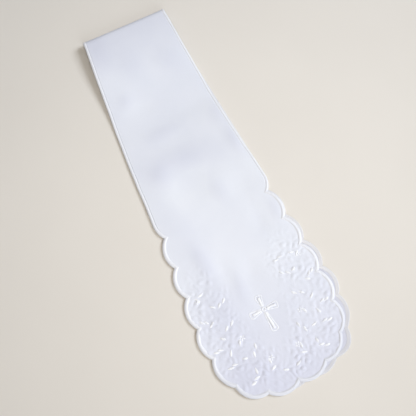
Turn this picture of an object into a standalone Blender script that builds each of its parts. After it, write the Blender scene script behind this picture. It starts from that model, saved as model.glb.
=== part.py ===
"""Clerical stole, folded in half at the neck and laid flat.

One straight, slightly flaring strip of white cloth ends in a rounded, scalloped tab. It is
folded over once at the neck, so an upper half lies on a lower half and both tabs point the
same way. A corded satin-stitch edging runs round the whole strip. The upper tab carries an
embroidered cross and, inside the scallops, two mirrored sprays of leaves and flowers.

Frame: metres, +Z up. The neck fold is at +Y, the scalloped tabs at -Y and the underside of
the lower half lies on z = 0. Pattern places are given as run (distance from the neck fold
towards the tab) and across (distance from the middle line, positive to +X).
"""

import math

import bmesh
import bpy
import numpy as np
from mathutils import Vector
from mathutils.geometry import delaunay_2d_cdt

MM = 0.001

# Cloth and trim
CLOTH_WALL = 1.0 * MM
EDGING_WIDTH = 3.4 * MM
EDGING_HEIGHT = 1.6 * MM
EDGING_RAISE = 0.4 * MM          # the cord sits this much above the middle of the cloth
SEAM_GAP = 0.3 * MM
CROSS_THICKNESS = 0.6 * MM
SPRAY_THICKNESS = 0.5 * MM

# The cut, measured to the middle of the edging
NECK_HALF_WIDTH = 41.3 * MM      # half the strip at the neck fold
FLARE = 0.0705                   # half width gained for each unit of run
LOBE_RISE = 5.8 * MM             # how far each scallop stands out from its chord

# Notches between the scallops, from the first one down to the middle of the tab
NOTCHES = (
    # run from the fold, half width
    (212.6 * MM, 50.0 * MM),
    (241.0 * MM, 53.1 * MM),
    (269.2 * MM, 55.0 * MM),
    (297.3 * MM, 57.4 * MM),
    (325.4 * MM, 57.1 * MM),
    (352.9 * MM, 49.9 * MM),
    (368.4 * MM, 27.6 * MM),
    (371.4 * MM, 0.0 * MM),
)
STRAIGHT_LOBES = 4               # lobes whose cloth rows run straight across

# The unpressed neck fold
FOLD_HEIGHT = 11.0 * MM          # top of the roll above the surface
FOLD_FALL = 109.0 * MM           # run over which the upper half comes down from the roll
UPPER_UNDERSIDE = 2.0 * MM       # upper half above the surface, riding on the lower edging
MIDDLE_SINK = 0.6 * MM           # how far the middle of the upper half settles below that
SINK_HALF_WIDTH = 44.0 * MM
SINK_END = 356.0 * MM
SINK_FADE = 45.0 * MM

# The fold lies askew, and so does the tip of the upper tab
NECK_SLANT = 0.0145              # rise to +Y for each unit across
SLANT_FADE = 60.0 * MM           # run from the roll over which it fades away
TAB_SLANT = 0.03
TAB_SLANT_START = 340.0 * MM
TAB_SLANT_END = 370.0 * MM

# The upper half wanders a little to both sides
WANDER = np.array((
    # run, shift to +X
    (5.0, 0.0),
    (50.0, -0.8),
    (75.0, -1.0),
    (100.0, -1.5),
    (130.0, -1.35),
    (155.0, -0.85),
    (180.0, 0.1),
    (198.0, 0.35),
    (220.0, -0.1),
    (371.4, -0.1),
)) * MM

# The lower half is bent to +X below its straight part, and its tip further aside and down
LOWER_SWING = 6.1 * MM
SWING_START = 194.0 * MM
SWING_END = 339.0 * MM
LOWER_SHORT = 2.8 * MM           # how much it ends short by
TIP_SWING = 3.0 * MM
TIP_DROP = 2.3 * MM
TIP_START = 347.0 * MM
TIP_END = 369.0 * MM

# Broad soft swells of the upper half
SWELLS = (
    # run, across, half length along, half breadth, height, turn in degrees
    (66.0 * MM, 8.0 * MM, 17.0 * MM, 30.0 * MM, 0.5 * MM, -24.0),
    (122.0 * MM, -14.0 * MM, 15.0 * MM, 28.0 * MM, 0.5 * MM, 20.0),
    (170.0 * MM, 12.0 * MM, 19.0 * MM, 26.0 * MM, 0.6 * MM, -30.0),
    (232.0 * MM, 20.0 * MM, 22.0 * MM, 20.0 * MM, 0.6 * MM, 35.0),
    (266.0 * MM, -16.0 * MM, 20.0 * MM, 17.0 * MM, 0.4 * MM, -25.0),
)

# Embroidered cross, its short arm towards the neck
CROSS_RUN = 306.8 * MM
CROSS_ACROSS = -0.1 * MM
CROSS_TOP = 14.0 * MM
CROSS_SIDE = 14.0 * MM
CROSS_FOOT = 20.5 * MM
CROSS_WAIST = 1.2 * MM           # half width of an arm at the centre
CROSS_FLARE = 3.6 * MM           # half width of an arm near its end
CROSS_POINT = 1.6 * MM           # how far the end of an arm is drawn out to a point
CROSS_RING = 2.4 * MM            # radius of the disc where the arms meet
CROSS_RING_SIDES = 12

# Sprays: one vine a side, mirrored
VINE = (
    # run, across
    (265.0 * MM, 37.5 * MM),
    (275.0 * MM, 43.0 * MM),
    (287.5 * MM, 42.0 * MM),
    (300.0 * MM, 44.5 * MM),
    (313.0 * MM, 45.5 * MM),
    (325.0 * MM, 41.0 * MM),
    (335.0 * MM, 37.0 * MM),
    (345.0 * MM, 30.5 * MM),
    (353.5 * MM, 20.5 * MM),
    (358.5 * MM, 9.0 * MM),
)
SCROLLS = (
    # share of the vine, angle off it in degrees (+ to the edge), length, curl, flower at end
    (0.03, -35.0, 10.0 * MM, -95.0, False),
    (0.12, 35.0, 7.5 * MM, 95.0, True),
    (0.21, -32.0, 13.0 * MM, -105.0, False),
    (0.31, 34.0, 8.5 * MM, 90.0, False),
    (0.38, -32.0, 15.0 * MM, -110.0, True),
    (0.50, 34.0, 8.5 * MM, 95.0, True),
    (0.56, -32.0, 16.0 * MM, -110.0, False),
    (0.66, 34.0, 9.5 * MM, 90.0, False),
    (0.73, -32.0, 16.0 * MM, -105.0, True),
    (0.82, 34.0, 11.0 * MM, 95.0, True),
    (0.89, -32.0, 12.0 * MM, -90.0, False),
)
STEM_WIDTH = 0.9 * MM
VINE_STEPS = 4                   # stretches between two rows of the vine's table
SCROLL_STEPS = 4
LEAF_LENGTH = 5.4 * MM
LEAF_WIDTH = 1.7 * MM
LEAF_ANGLE = 46.0                # off the stem, in degrees
LEAF_FIRST = 2                   # first point of the vine that carries a leaf
LEAF_EVERY = 3                   # points from one leaf to the next
SCROLL_LEAVES = (0.4, 0.7)       # shares of a scroll at which a leaf grows
PETALS = 5
PETAL_LENGTH = 3.0 * MM
PETAL_WIDTH = 1.9 * MM

# Fineness
TAPER_ROWS = 15                  # rows from the fold to the first lobe
LOBE_STEPS = 6
FIRST_LOBE_STEPS = 3
TURN_ROWS = 12                   # stretches round the roll
COLUMNS = 9                      # points across the cloth
CORD_SIDES = 8

FOLD_RADIUS = (FOLD_HEIGHT - CLOTH_WALL) / 2.0
CLOTH_MARGIN = EDGING_WIDTH / 2.0 + SEAM_GAP
COLLECTION = "clerical_stole"


# ---------------------------------------------------------------- the cut

def arc_between(start, end):
    """Points and outward directions along the scallop from one notch to the next."""
    start, end = np.array(start), np.array(end)
    chord = end - start
    half = np.linalg.norm(chord) / 2.0
    along = chord / (2.0 * half)
    outward = np.array((-along[1], along[0]))
    radius = (half ** 2 + LOBE_RISE ** 2) / (2.0 * LOBE_RISE)
    centre = (start + end) / 2.0 - outward * (radius - LOBE_RISE)
    reach = math.asin(half / radius)
    turn = np.linspace(-reach, reach, LOBE_STEPS + 1)[:, None]
    facing = np.cos(turn) * outward + np.sin(turn) * along
    return centre + radius * facing, facing


def first_lobe(radius):
    """The part lobe that leaves the flaring edge at a tangent and ends at the first notch."""
    slope = math.atan(FLARE)
    along = np.array((math.cos(slope), math.sin(slope)))
    outward = np.array((-along[1], along[0]))
    notch = np.array(NOTCHES[0])
    from_fold = notch - np.array((0.0, NECK_HALF_WIDTH))
    depth = -from_fold @ outward
    reach = math.acos(1.0 - depth / radius)
    centre = notch - radius * (math.cos(reach) * outward + math.sin(reach) * along)
    turn = np.linspace(0.0, reach, FIRST_LOBE_STEPS + 1)[:, None]
    facing = np.cos(turn) * outward + np.sin(turn) * along
    return centre + radius * facing, facing


def mitre(before, after):
    """The vector that moves a corner so that both its sides move out by one unit."""
    return (before + after) / (1.0 + before @ after)


def half_outline():
    """Rows from the fold to the tab: middle of the edging, and its outward mitre vector."""
    lobes = [arc_between(a, b) for a, b in zip(NOTCHES[:-1], NOTCHES[1:])]
    half_chord = math.dist(NOTCHES[0], NOTCHES[1]) / 2.0
    radius = (half_chord ** 2 + LOBE_RISE ** 2) / (2.0 * LOBE_RISE)
    lobes.insert(0, first_lobe(radius))
    taper_end = lobes[0][0][0]
    runs = np.linspace(FOLD_RADIUS, taper_end[0], TAPER_ROWS)
    points = [np.array((run, NECK_HALF_WIDTH + FLARE * run)) for run in runs[:-1]]
    sideways = np.array((0.0, math.hypot(1.0, FLARE)))
    mitres = [sideways] * len(points)
    for number, (arc, facing) in enumerate(lobes):
        points.extend(arc[:-1])
        mitres.extend(facing[:-1])
        if number > 0:
            mitres[-len(facing) + 1] = mitre(lobes[number - 1][1][-1], facing[0])
    last = lobes[-1][1][-1]
    points.append(np.array(NOTCHES[-1]))
    mitres.append(mitre(last, last * (1.0, -1.0)))
    return np.array(points), np.array(mitres)


OUTLINE, MITRES = half_outline()


# ---------------------------------------------------------------- how the strip lies

def smooth(x):
    """Smoothstep of x held between 0 and 1."""
    x = np.clip(x, 0.0, 1.0)
    return x * x * (3.0 - 2.0 * x)


def wander(run):
    """Shift to +X of the upper half, eased from each place of the table to the next."""
    share = smooth((run[..., None] - WANDER[:-1, 0]) / np.diff(WANDER[:, 0]))
    return WANDER[0, 1] + (share * np.diff(WANDER[:, 1])).sum(axis=-1)


def slant(run, across):
    """Shift to +Y near the neck fold, none at the fold's left end."""
    fading = smooth(1.0 - (run - FOLD_RADIUS) / SLANT_FADE)
    return NECK_SLANT * (across + NECK_HALF_WIDTH) * fading


def upper_height(run, across):
    """Height of the middle of the upper half's wall above the surface."""
    resting = UPPER_UNDERSIDE + CLOTH_WALL / 2.0
    roll_top = FOLD_HEIGHT - CLOTH_WALL / 2.0
    fallen = smooth((run - FOLD_RADIUS) / (FOLD_FALL - FOLD_RADIUS))
    height = roll_top + (resting - roll_top) * fallen
    inside = smooth(1.0 - np.abs(across) / SINK_HALF_WIDTH)
    height = height - MIDDLE_SINK * fallen * inside * smooth((SINK_END - run) / SINK_FADE)
    for swell_run, swell_across, length, breadth, rise, turn in SWELLS:
        cosine, sine = math.cos(math.radians(turn)), math.sin(math.radians(turn))
        du, dv = run - swell_run, across - swell_across
        along = (du * cosine + dv * sine) / length
        beside = (dv * cosine - du * sine) / breadth
        height = height + rise * np.exp(-along ** 2 - beside ** 2)
    return height


def place_upper(run, across, lift=0.0):
    """World points of the upper half, lifted off the middle of its wall."""
    run, across = np.broadcast_arrays(run, across)
    at_tip = smooth((run - TAB_SLANT_START) / (TAB_SLANT_END - TAB_SLANT_START))
    y = slant(run, across) - run + TAB_SLANT * across * at_tip
    return np.stack((across + wander(run), y, upper_height(run, across) + lift), axis=-1)


def place_turn(turn, across, lift=0.0):
    """World points of the roll; turn is +90 degrees at its top and -90 degrees below."""
    turn, across = np.broadcast_arrays(turn, across)
    radius = FOLD_RADIUS + lift
    y = slant(FOLD_RADIUS, across) + radius * np.cos(turn) - FOLD_RADIUS
    z = FOLD_RADIUS + CLOTH_WALL / 2.0 + radius * np.sin(turn)
    return np.stack((across, y, z), axis=-1)


def place_lower(run, across, lift=0.0):
    """World points of the lower half, whose outer face looks down."""
    run, across = np.broadcast_arrays(run, across)
    at_tip = smooth((run - TIP_START) / (TIP_END - TIP_START))
    x = across + LOWER_SWING * smooth((run - SWING_START) / (SWING_END - SWING_START))
    x = x + TIP_SWING * at_tip
    short = LOWER_SHORT * (run - FOLD_RADIUS) / (NOTCHES[-1][0] - FOLD_RADIUS)
    y = slant(run, across) - run + short - TIP_DROP * at_tip
    z = np.full(run.shape, CLOTH_WALL / 2.0) - lift
    return np.stack((x, y, z), axis=-1)


def turn_angles():
    """The rows inside the roll, without the two that the halves already have."""
    return np.linspace(math.pi / 2.0, -math.pi / 2.0, TURN_ROWS + 1)[1:-1]


# ---------------------------------------------------------------- meshes

def new_object(name, mesh, material, parent):
    mesh.materials.append(material)
    piece = bpy.data.objects.new(name, mesh)
    piece.parent = parent
    bpy.data.collections[COLLECTION].objects.link(piece)
    return piece


def grid_mesh(name, points, closed_rows=False, closed_columns=False):
    """A mesh of quads over a grid of points, merged where rows shrink to a point."""
    rows, columns = points.shape[:2]
    index = np.arange(rows * columns).reshape(rows, columns)
    if closed_rows:
        index = np.vstack((index, index[:1]))
    if closed_columns:
        index = np.hstack((index, index[:, :1]))
    quads = np.stack((index[:-1, :-1], index[1:, :-1], index[1:, 1:], index[:-1, 1:]), axis=-1)
    mesh = bpy.data.meshes.new(name)
    mesh.from_pydata(points.reshape(-1, 3).tolist(), [], quads.reshape(-1, 4).tolist())
    shape = bmesh.new()
    shape.from_mesh(mesh)
    bmesh.ops.remove_doubles(shape, verts=shape.verts, dist=1e-6)
    bmesh.ops.recalc_face_normals(shape, faces=shape.faces)
    shape.to_mesh(mesh)
    shape.free()
    mesh.shade_smooth()
    return mesh


def add_wall(piece, thickness, offset):
    wall = piece.modifiers.new("wall", "SOLIDIFY")
    wall.thickness = thickness
    wall.offset = offset
    wall.use_even_offset = True


def cloth_strip(material, parent):
    """The whole strip as one wall: upper half, roll at the neck and lower half."""
    edge = OUTLINE - MITRES * CLOTH_MARGIN
    run, half = edge[:, 0], edge[:, 1]
    straight = TAPER_ROWS - 1 + FIRST_LOBE_STEPS + STRAIGHT_LOBES * LOBE_STEPS
    middle = run.copy()
    middle[straight:] = np.linspace(run[straight], run[-1], len(run) - straight)
    spread = np.sin(np.linspace(-1.0, 1.0, COLUMNS) * math.pi / 2.0)
    spread = (spread + np.linspace(-1.0, 1.0, COLUMNS)) / 2.0
    across = half[:, None] * spread
    runs = run[:, None] + (middle - run)[:, None] * (1.0 - spread ** 2)
    upper = place_upper(runs, across)
    lower = place_lower(runs, across)
    turn = place_turn(turn_angles()[:, None], across[0])
    points = np.concatenate((upper[::-1], turn, lower))
    piece = new_object("cloth", grid_mesh("cloth", points), material, parent)
    add_wall(piece, CLOTH_WALL, 0.0)
    return piece


def cord_section():
    """Oval section of the edging: offsets outwards in the cloth's plane, and off it."""
    turn = (np.arange(CORD_SIDES) + 0.5) * 2.0 * math.pi / CORD_SIDES
    fit = 1.0 / math.cos(math.pi / CORD_SIDES)
    return EDGING_WIDTH / 2.0 * fit * np.cos(turn), EDGING_HEIGHT / 2.0 * fit * np.sin(turn)


def edging_side(side, out, off):
    """Sections along one long edge, from the upper tab's tip round the fold to the lower's."""
    run = OUTLINE[:, 0, None] + MITRES[:, 0, None] * out
    across = side * (OUTLINE[:, 1, None] + MITRES[:, 1, None] * out)
    upper = place_upper(run, across, off)
    lower = place_lower(run, across, off)
    angles = turn_angles()[:, None]
    roll = place_turn(angles, across[0], off)
    points = np.concatenate((upper[::-1], roll, lower))
    points[..., 2] += EDGING_RAISE
    return points


def edging(material, parent):
    """The corded edging: one closed ring along both long edges and both tabs."""
    out, off = cord_section()
    right = edging_side(1.0, out, off)
    left = edging_side(-1.0, out, off)
    points = np.concatenate((right, left[-2:0:-1]))
    mesh = grid_mesh("edging", points, closed_rows=True, closed_columns=True)
    return new_object("edging", mesh, material, parent)


def raised_piece(name, polygons, thickness, material, parent):
    """Overlapping flat outlines joined into one shape that lies on the upper half."""
    corners = [Vector(corner) for polygon in polygons for corner in polygon]
    faces, count = [], 0
    for polygon in polygons:
        faces.append(list(range(count, count + len(polygon))))
        count += len(polygon)
    points, _, triangles, _, _, owners = delaunay_2d_cdt(corners, [], faces, 1, 1e-7)
    kept = [list(triangle) for triangle, owner in zip(triangles, owners) if owner]
    flat = np.array([tuple(point) for point in points])
    lift = CLOTH_WALL / 2.0 + SEAM_GAP
    laid = place_upper(flat[:, 0], flat[:, 1], lift)
    mesh = bpy.data.meshes.new(name)
    mesh.from_pydata(laid.tolist(), [], kept)
    shape = bmesh.new()
    shape.from_mesh(mesh)
    loose = [vertex for vertex in shape.verts if not vertex.link_faces]
    bmesh.ops.delete(shape, geom=loose, context="VERTS")
    bmesh.ops.recalc_face_normals(shape, faces=shape.faces)
    if sum(face.normal.z for face in shape.faces) < 0.0:
        bmesh.ops.reverse_faces(shape, faces=shape.faces)
    shape.to_mesh(mesh)
    shape.free()
    piece = new_object(name, mesh, material, parent)
    add_wall(piece, thickness, 1.0)
    return piece


# ---------------------------------------------------------------- embroidery outlines

def turned(angle):
    """Unit vector at an angle in degrees from the run direction."""
    return np.array((math.cos(math.radians(angle)), math.sin(math.radians(angle))))


def lens(root, heading, length, width, steps=3):
    """A pointed leaf shape that grows from root along heading."""
    side = np.array((-heading[1], heading[0]))
    share = np.linspace(0.0, 1.0, steps + 1)
    swell = np.sin(share * math.pi) * width / 2.0
    spine = root + heading * (length * share)[:, None]
    one, other = spine + side * swell[:, None], spine - side * swell[:, None]
    return np.vstack((one[:-1], other[:0:-1]))


def ribbon(path, width):
    """A narrow band along a path."""
    heading = np.gradient(path, axis=0)
    heading /= np.linalg.norm(heading, axis=1)[:, None]
    side = np.stack((-heading[:, 1], heading[:, 0]), axis=-1) * width / 2.0
    return np.vstack((path + side, (path - side)[::-1]))


def smooth_path(table, steps):
    """A curve through every row of a table, by the Catmull-Rom rule."""
    rows = np.array(table)
    ends = np.vstack((2.0 * rows[0] - rows[1], rows, 2.0 * rows[-1] - rows[-2]))
    path = []
    for a, b, c, d in zip(ends[:-3], ends[1:-2], ends[2:-1], ends[3:]):
        for share in np.arange(steps) / steps:
            path.append(b + 0.5 * share * (c - a + share * (
                2.0 * a - 5.0 * b + 4.0 * c - d + share * (3.0 * (b - c) + d - a))))
    path.append(rows[-1])
    return np.array(path)


def cross_outlines():
    """Four flared arms with pointed ends and a disc over their meeting."""
    centre = np.array((CROSS_RUN, CROSS_ACROSS))
    outlines = []
    for angle, reach in ((0, CROSS_FOOT), (90, CROSS_SIDE), (180, CROSS_TOP), (270, CROSS_SIDE)):
        heading = turned(angle)
        side = np.array((-heading[1], heading[0]))
        shoulder = reach - CROSS_POINT
        outlines.append([
            centre - side * CROSS_WAIST - heading * CROSS_WAIST,
            centre - side * CROSS_FLARE + heading * shoulder,
            centre + heading * reach,
            centre + side * CROSS_FLARE + heading * shoulder,
            centre + side * CROSS_WAIST - heading * CROSS_WAIST,
        ])
    around = np.arange(CROSS_RING_SIDES) * 360.0 / CROSS_RING_SIDES
    outlines.append([centre + turned(angle) * CROSS_RING for angle in around])
    return outlines


def bloom(centre, start):
    """The petals of a small open flower."""
    outlines = []
    for petal in range(PETALS):
        aim = turned(start + 360.0 / PETALS * (petal + 0.5))
        outlines.append(lens(centre - aim * STEM_WIDTH / 2.0, aim, PETAL_LENGTH, PETAL_WIDTH))
    return outlines


def scroll(root, angle, length, curl, flowers):
    """A side stem that curls evenly, with leaves on both sides and a flower or leaf at its end."""
    shares = (np.arange(SCROLL_STEPS) + 0.5) / SCROLL_STEPS
    steps = np.array([turned(angle + curl * share) for share in shares])
    path = root + np.vstack((np.zeros(2), np.cumsum(steps, axis=0))) * length / SCROLL_STEPS
    outlines = [ribbon(path, STEM_WIDTH)]
    hand = math.copysign(1.0, curl)
    for share in SCROLL_LEAVES:
        at = np.array([np.interp(share * SCROLL_STEPS, range(SCROLL_STEPS + 1), column)
                       for column in path.T])
        aim = turned(angle + curl * share - hand * LEAF_ANGLE)
        outlines.append(lens(at, aim, LEAF_LENGTH, LEAF_WIDTH))
        hand = -hand
    if flowers:
        return outlines + bloom(path[-1], angle + curl)
    end = turned(angle + curl)
    return outlines + [lens(path[-1] - end * STEM_WIDTH, end, LEAF_LENGTH, LEAF_WIDTH)]


def spray_outlines(side):
    """The vine, its alternate leaves and its scrolls, mirrored by side."""
    path = smooth_path(VINE, VINE_STEPS)
    heading = np.gradient(path, axis=0)
    aim = np.degrees(np.arctan2(heading[:, 1], heading[:, 0]))
    outlines = [ribbon(path, STEM_WIDTH)]
    hand = 1.0
    for at in range(LEAF_FIRST, len(path) - 1, LEAF_EVERY):
        grows = turned(aim[at] + hand * LEAF_ANGLE)
        outlines.append(lens(path[at], grows, LEAF_LENGTH, LEAF_WIDTH))
        hand = -hand
    last = len(path) - 1
    end = turned(aim[last])
    outlines.append(lens(path[last] - end * STEM_WIDTH, end, LEAF_LENGTH, LEAF_WIDTH))
    for share, angle, length, curl, flowers in SCROLLS:
        at = round(share * last)
        outlines.extend(scroll(path[at], aim[at] + angle, length, curl, flowers))
    return [np.array(outline) * (1.0, side) for outline in outlines]


# ---------------------------------------------------------------- materials and assembly

def finish(name, colour, roughness, sheen):
    material = bpy.data.materials.new(name)
    material.use_nodes = True
    surface = material.node_tree.nodes["Principled BSDF"]
    surface.inputs["Base Color"].default_value = (*colour, 1.0)
    surface.inputs["Roughness"].default_value = roughness
    surface.inputs["Metallic"].default_value = 0.0
    surface.inputs["Sheen Weight"].default_value = sheen
    return material


def centre_on_floor(holder, pieces):
    """Move the holder so that the middle of the whole box stands over the origin."""
    bpy.context.view_layer.update()
    graph = bpy.context.evaluated_depsgraph_get()
    corners = np.array([tuple(corner) for piece in pieces
                        for corner in piece.evaluated_get(graph).bound_box])
    middle = (corners.min(axis=0) + corners.max(axis=0)) / 2.0
    holder.location = (-middle[0], -middle[1], 0.0)


def main():
    for leftover in list(bpy.data.objects):
        bpy.data.objects.remove(leftover, do_unlink=True)
    collection = bpy.data.collections.new(COLLECTION)
    bpy.context.scene.collection.children.link(collection)
    holder = bpy.data.objects.new("stole_place", None)
    collection.objects.link(holder)

    satin = finish("white_cloth", (0.80, 0.82, 0.88), 0.55, 0.3)
    cord = finish("edging_thread", (0.90, 0.90, 0.94), 0.40, 0.2)
    thread = finish("embroidery_thread", (0.92, 0.92, 0.94), 0.35, 0.2)

    pieces = [cloth_strip(satin, holder), edging(cord, holder)]
    pieces.append(raised_piece("cross", cross_outlines(), CROSS_THICKNESS, thread, holder))
    for name, side in (("spray_right", 1.0), ("spray_left", -1.0)):
        outlines = spray_outlines(side)
        pieces.append(raised_piece(name, outlines, SPRAY_THICKNESS, thread, holder))
    centre_on_floor(holder, pieces)


main()
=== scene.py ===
# %% [markdown]
# # A clerical stole, folded at the neck and laid flat
#
# A stole is one long strip of cloth that hangs round the neck. This one is white, flares from
# the neck towards both ends, and each end is a rounded tab with scallops. A corded edging in
# satin stitch runs all the way round, and the tab carries a cross and two sprays of leaves.
#
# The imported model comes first. It is the fixed frame: every piece made below has to lie where
# its solid lies, so nothing is fitted by eye afterwards.

# %% Load the frame
import math

import bmesh
import bpy
import numpy as np
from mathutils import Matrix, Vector


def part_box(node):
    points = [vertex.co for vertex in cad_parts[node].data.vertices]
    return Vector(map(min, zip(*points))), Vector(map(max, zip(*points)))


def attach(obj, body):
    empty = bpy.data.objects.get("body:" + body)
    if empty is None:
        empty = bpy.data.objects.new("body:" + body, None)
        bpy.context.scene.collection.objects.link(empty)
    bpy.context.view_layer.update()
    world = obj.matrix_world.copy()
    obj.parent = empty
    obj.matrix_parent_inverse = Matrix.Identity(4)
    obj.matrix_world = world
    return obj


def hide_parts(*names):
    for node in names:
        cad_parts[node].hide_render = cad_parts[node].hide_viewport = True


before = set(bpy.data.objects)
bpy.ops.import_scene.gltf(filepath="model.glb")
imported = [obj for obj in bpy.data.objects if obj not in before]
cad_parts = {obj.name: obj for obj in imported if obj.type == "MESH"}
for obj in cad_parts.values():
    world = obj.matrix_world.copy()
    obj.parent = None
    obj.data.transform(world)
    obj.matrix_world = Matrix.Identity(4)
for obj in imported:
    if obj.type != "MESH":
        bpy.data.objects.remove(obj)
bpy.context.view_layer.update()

MM = 0.001
print("nodes:", sorted(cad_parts))

# %% [markdown]
# ## The cut
#
# A maker works from a paper pattern, and so does this lesson. A place on the pattern has two
# numbers: run, the distance from the neck fold towards the tab, and across, the distance from
# the middle line. The edge is straight at first. Then come scallops, and each one is an arc of
# a circle between two notches, so the notches and one rise are all that it needs.

# %% Sizes of the cut
WALL = 0.6 * MM
NECK_HALF_WIDTH = 41.3 * MM
FLARE = 0.0705
LOBE_RISE = 5.8 * MM
FOLD_RADIUS = 5.0 * MM
NOTCHES = np.array((
    # run from the fold, half width
    (212.6, 50.0), (241.0, 53.1), (269.2, 55.0), (297.3, 57.4),
    (325.4, 57.1), (352.9, 49.9), (368.4, 27.6), (371.4, 0.0),
)) * MM
print("half width of the strip at the neck, mm:", NECK_HALF_WIDTH / MM)


# %% One scallop
def scallop_circle(start, end):
    """The circle through two notches that rises LOBE_RISE above the line between them.

    radius = (half chord squared + rise squared) / (2 x rise), and the centre lies
    radius - rise below the middle of the chord.
    """
    chord = end - start
    half = np.linalg.norm(chord) / 2.0
    along = chord / (2.0 * half)
    outward = np.array((-along[1], along[0]))
    radius = (half ** 2 + LOBE_RISE ** 2) / (2.0 * LOBE_RISE)
    centre = (start + end) / 2.0 - outward * (radius - LOBE_RISE)
    return centre, radius, math.asin(half / radius), outward, along


def arc_rows(centre, radius, outward, along, first, last, step):
    """Rows on an arc: facing turns evenly from first to last, point = centre + radius x facing."""
    count = max(2, round((last - first) * radius / step))
    turn = np.linspace(first, last, count + 1)[:, None]
    facing = np.cos(turn) * outward + np.sin(turn) * along
    return centre + radius * facing, facing


def stretches(step, plain):
    """The edge from fold to tip: the straight in steps of plain, then lobes in steps of step."""
    slope = math.atan(FLARE)
    along = np.array((math.cos(slope), math.sin(slope)))
    outward = np.array((-along[1], along[0]))
    radius = scallop_circle(NOTCHES[0], NOTCHES[1])[1]
    depth = -(NOTCHES[0] - (0.0, NECK_HALF_WIDTH)) @ outward
    reach = math.acos(1.0 - depth / radius)
    centre = NOTCHES[0] - radius * (math.cos(reach) * outward + math.sin(reach) * along)
    lobes = [arc_rows(centre, radius, outward, along, 0.0, reach, step)]
    for start, end in zip(NOTCHES[:-1], NOTCHES[1:]):
        centre, radius, reach, outward, along = scallop_circle(start, end)
        lobes.append(arc_rows(centre, radius, outward, along, -reach, reach, step))
    taper_end = lobes[0][0][0, 0]
    run = np.linspace(FOLD_RADIUS, taper_end, round((taper_end - FOLD_RADIUS) / plain) + 1)
    leaning = -FLARE * (run - FOLD_RADIUS) / (taper_end - FOLD_RADIUS)
    facing = np.stack((leaning, np.ones_like(run)), axis=-1)
    facing /= np.linalg.norm(facing, axis=1)[:, None]
    straight = np.stack((run, NECK_HALF_WIDTH + FLARE * run), axis=-1)
    return [(straight[:-1], facing[:-1])] + lobes


print("stretches of half an edge:", len(stretches(MM, MM)))


# %% [markdown]
# ## Corners where two scallops meet
#
# Satin stitch that turns a sharp corner is mitred: the stitches fan round the inner side, and
# on the outer side they stop at the line that halves the corner. Both follow from one vector.
# The mitre vector moves a corner so that both its sides move out by one unit.

# %% Rows along the edge
TINY = 1e-9


def mitre(before, after):
    """(a + b) / (1 + a . b): it has length 1 / cos(half the turn) and halves the corner."""
    return (before + after) / (1.0 + before @ after)


def cross_flat(a, b):
    """The flat cross product a0 b1 - a1 b0, by rows."""
    return a[..., 0] * b[..., 1] - a[..., 1] * b[..., 0]


def half_edge(step, plain, fan):
    """Rows from the fold to the tip: point, facing, lean and room.

    An outward offset d of a row is point + min(d, room) x facing, and an inward one is
    point - d x lean. room is where the row meets the line that halves the next notch:
    cross(notch - point, line) / cross(facing, line). fan rows turn lean to the mitre
    vector and back at each notch, and with fan 0 a notch has one row.
    """
    pieces = stretches(step, plain)
    starts = [facing[0] for _, facing in pieces] + [pieces[-1][1][-1] * (1.0, -1.0)]
    corner = {k: mitre(pieces[k][1][-1], starts[k + 1]) for k in range(1, len(pieces))}
    rows = []
    for number, (point, facing) in enumerate(pieces):
        room = np.full(len(point), np.inf)
        for place, key in ((0, number - 1), (-1, number)):
            if key in corner:
                line = corner[key] / np.linalg.norm(corner[key])
                reach = cross_flat(point[place] - point, line) / cross_flat(facing, line)
                room = np.minimum(room, np.where(reach < -TINY, np.inf, np.abs(reach)))
        keep = slice(None)
        if fan == 0:
            keep = slice(1 if number > 1 else 0, -1 if number > 0 else None)
        rows.append((point[keep], facing[keep], facing[keep], room[keep]))
        if number in corner:
            share = np.arange(1, fan + 1)[:, None] / max(fan, 1)
            lean = facing[-1] + share * (corner[number] - facing[-1])
            if fan == 0:
                lean = corner[number][None]
            elif number < len(pieces) - 1:
                after = starts[number + 1]
                lean = np.vstack((lean, after + share[-2::-1] * (corner[number] - after)))
            spot = np.repeat(point[-1:], len(lean), axis=0)
            rows.append((spot, np.repeat(facing[-1:], len(lean), axis=0), lean,
                         np.zeros(len(lean))))
    return [np.concatenate(column) for column in zip(*rows)]


edge_length = sum(np.linalg.norm(np.diff(p, axis=0), axis=1).sum() for p, _ in stretches(MM, MM))
print("edge of one half, mm:", round(edge_length / MM, 1))

# %% [markdown]
# ## How the strip lies
#
# The neck is folded over and not pressed, so the upper half leaves a roll 11 mm high and comes
# down over about 110 mm. After that it rides on the edging of the lower half, and its middle
# settles between the two edgings. Soft swells are left where the cloth was handled. Each swell
# is a bell: a height that falls off evenly along and beside its own direction. Light from one
# side turns the two flanks of a bell into one pale and one dim patch, which is how broad,
# shallow folds show on white cloth.

# %% Heights and places
UPPER_REST = 1.9 * MM
FOLD_FALL = 109.0 * MM
MIDDLE_SINK = 0.6 * MM
SINK_HALF_WIDTH = 44.0 * MM
SINK_END = 356.0 * MM
SINK_FADE = 45.0 * MM
NECK_SLANT = 0.0145
SLANT_FADE = 60.0 * MM
TAB_SLANT = 0.03
TAB_SLANT_START = 340.0 * MM
TAB_SLANT_END = 370.0 * MM
WANDER = np.array((
    # run, how far the upper half lies aside there
    (5.0, 0.0), (50.0, -0.8), (75.0, -1.0), (100.0, -1.5), (130.0, -1.35), (155.0, -0.85),
    (180.0, 0.1), (198.0, 0.35), (220.0, -0.1), (371.4, -0.1),
)) * MM
SWING_START = 194.0 * MM
SWING_END = 339.0 * MM
LOWER_SWING = 6.1 * MM
LOWER_SHORT = 2.8 * MM
TIP_SWING = 3.0 * MM
TIP_DROP = 2.3 * MM
TIP_START = 347.0 * MM
TIP_END = 369.0 * MM
SWELL_FADE = 30.0 * MM
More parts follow.
